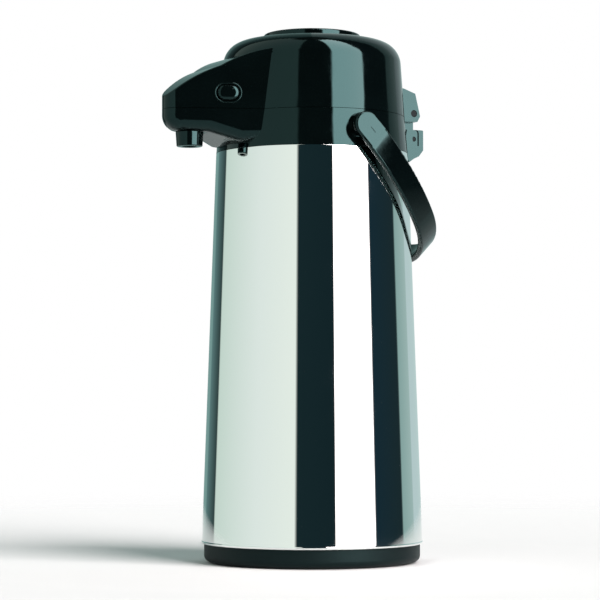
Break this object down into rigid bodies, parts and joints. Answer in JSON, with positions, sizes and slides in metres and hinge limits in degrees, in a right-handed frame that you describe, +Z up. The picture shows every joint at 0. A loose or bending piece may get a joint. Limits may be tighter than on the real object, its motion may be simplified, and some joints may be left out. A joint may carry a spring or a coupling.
{
  "type": "thermal airpot",
  "caption": "Glass-lined pump airpot: tapered polished steel body, black beaked pump lid on a rear hinge, bail handle and a base that turns.",
  "frame": {"origin": "centre of the base on the surface that the airpot stands on", "axes": "+Z up along the body's axis, spout towards -Y, lid hinge at +Y, handle pivots along X"},
  "size_m": [0.1567, 0.2074, 0.375],
  "materials": {
    "mirror_steel": "mirror-polished stainless steel",
    "black_gloss": "glossy black ABS",
    "black_matte": "fine-textured black polypropylene",
    "grey_inner": "natural light grey polypropylene",
    "silicone": "translucent silicone rubber",
    "black_rubber": "black rubber",
    "silvered_glass": "silvered borosilicate glass",
    "steel": "stainless steel, turned and drawn"
  },
  "bodies": {
    "root": {"outer_shell": "mirror_steel", "base_cup": "black_matte", "swivel_glide": "grey_inner", "swivel_bolt": "steel", "liner_support": "grey_inner", "liner_cushion": "silicone", "liner_outer_flask": "silvered_glass", "liner_inner_flask": "silvered_glass", "neck_gasket": "silicone", "neck_flange": "grey_inner", "flange_screws": "steel", "collar": "black_gloss", "stopper": "grey_inner", "stopper_seal": "silicone", "valve_cap": "grey_inner", "dip_tube": "steel", "check_ball": "steel", "delivery_pipe": "steel", "pipe_seal": "silicone", "nozzle": "black_gloss", "hinge_bracket": "black_gloss", "bracket_screws": "steel", "hinge_pin": "steel", "lever_pin": "steel", "lever_spring": "steel", "pivot_screws": "steel", "pivot_washers": "grey_inner"},
    "turning_base": {"swivel_base": "black_matte", "anti_slip_ring": "black_rubber"},
    "lid": {"lid_cover": "black_gloss", "lid_base": "grey_inner", "lid_screws": "steel", "bellows_seal": "silicone", "bellows": "silicone", "return_spring": "steel", "button_spring_right": "steel", "button_spring_left": "steel"},
    "plate": {"push_plate": "black_gloss", "plunger": "grey_inner", "air_valve": "silicone"},
    "lock": {"lock_slider": "black_matte"},
    "button_right": {"release_button_right": "black_gloss"},
    "button_left": {"release_button_left": "black_gloss"},
    "lever": {"release_lever": "black_gloss"},
    "bail": {"handle": "black_gloss", "pivot_cap_right": "black_gloss", "pivot_cap_left": "black_gloss"}
  },
  "joints": [
    {"name": "base_turn", "type": "hinge", "parent": "root", "child": "turning_base", "pos_m": [0, 0, 0], "axis": [0, 0, 1], "continuous": true},
    {"name": "lid_open", "type": "hinge", "parent": "root", "child": "lid", "pos_m": [0, 0.0791, 0.3225], "axis": [-1, 0, 0], "range_deg": [0, 95]},
    {"name": "plate_push", "type": "slide", "parent": "lid", "child": "plate", "axis": [0, 0, -1], "range_m": [0, 0.018], "stiffness_N_per_m": 250, "springref_m": -0.008, "deforming": ["bellows", "return_spring"]},
    {"name": "lock_slide", "type": "slide", "parent": "plate", "child": "lock", "axis": [0, 1, 0], "range_m": [0, 0.006]},
    {"name": "button_right_press", "type": "slide", "parent": "lid", "child": "button_right", "axis": [-0.9157, 0.4019, 0], "range_m": [0, 0.0025], "stiffness_N_per_m": 400, "springref_m": -0.002, "deforming": ["button_spring_right"]},
    {"name": "button_left_press", "type": "slide", "parent": "lid", "child": "button_left", "axis": [0.9157, 0.4019, 0], "range_m": [0, 0.0025], "stiffness_N_per_m": 400, "springref_m": -0.002, "deforming": ["button_spring_left"]},
    {"name": "lever_release", "type": "hinge", "parent": "root", "child": "lever", "pos_m": [0, 0.0795, 0.304], "axis": [1, 0, 0], "range_deg": [0, 12], "stiffness_Nm_per_rad": 0.05, "springref_deg": -5.73, "deforming": ["lever_spring"]},
    {"name": "handle_swing", "type": "hinge", "parent": "root", "child": "bail", "pos_m": [0, 0, 0.3035], "axis": [1, 0, 0], "range_deg": [0, 148]}
  ]
}
